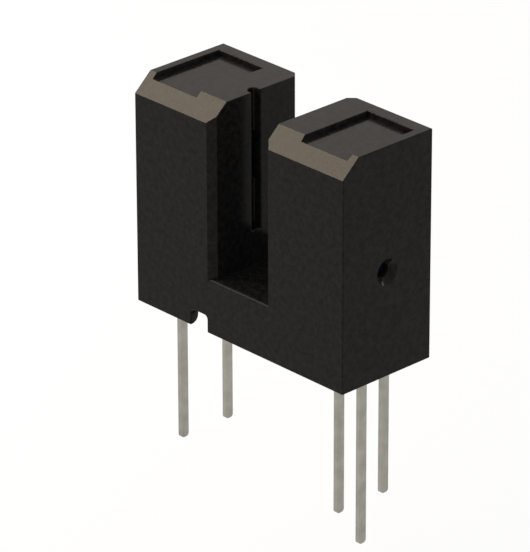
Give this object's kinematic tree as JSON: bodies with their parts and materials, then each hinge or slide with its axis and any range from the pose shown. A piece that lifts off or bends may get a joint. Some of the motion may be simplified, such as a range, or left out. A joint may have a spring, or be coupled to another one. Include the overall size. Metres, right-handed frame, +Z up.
{
  "type": "slotted optical switch",
  "caption": "Black moulded U-shaped optical switch for a circuit board: an emitter tower faces a detector tower across a slot, with flat leads hanging below.",
  "frame": {"origin": "centre of the seating face, where the housing stands on the circuit board", "axes": "+Z up out of the board along the towers, +X from the emitter tower to the detector tower across the slot, -Y towards the chamfered front; the leads hang below Z = 0"},
  "size_m": [0.0122, 0.005, 0.0184],
  "materials": {
    "housing_plastic": "satin black moulded plastic",
    "emitter_resin": "clear bluish epoxy moulding",
    "detector_resin": "dark infrared-filter epoxy moulding",
    "plated_lead": "satin solder plating on flat strip",
    "chip": "polished semiconductor",
    "bond_wire": "drawn gold wire"
  },
  "bodies": {
    "root": {"housing": "housing_plastic", "emitter_package": "emitter_resin", "emitter_anode_lead": "plated_lead", "emitter_cathode_lead": "plated_lead", "emitter_chip": "chip", "emitter_bond_wire": "bond_wire", "detector_package": "detector_resin", "detector_supply_lead": "plated_lead", "detector_output_lead": "plated_lead", "detector_ground_lead": "plated_lead", "detector_chip": "chip", "detector_supply_wire": "bond_wire", "detector_output_wire": "bond_wire", "detector_ground_wire": "bond_wire"}
  },
  "joints": []
}
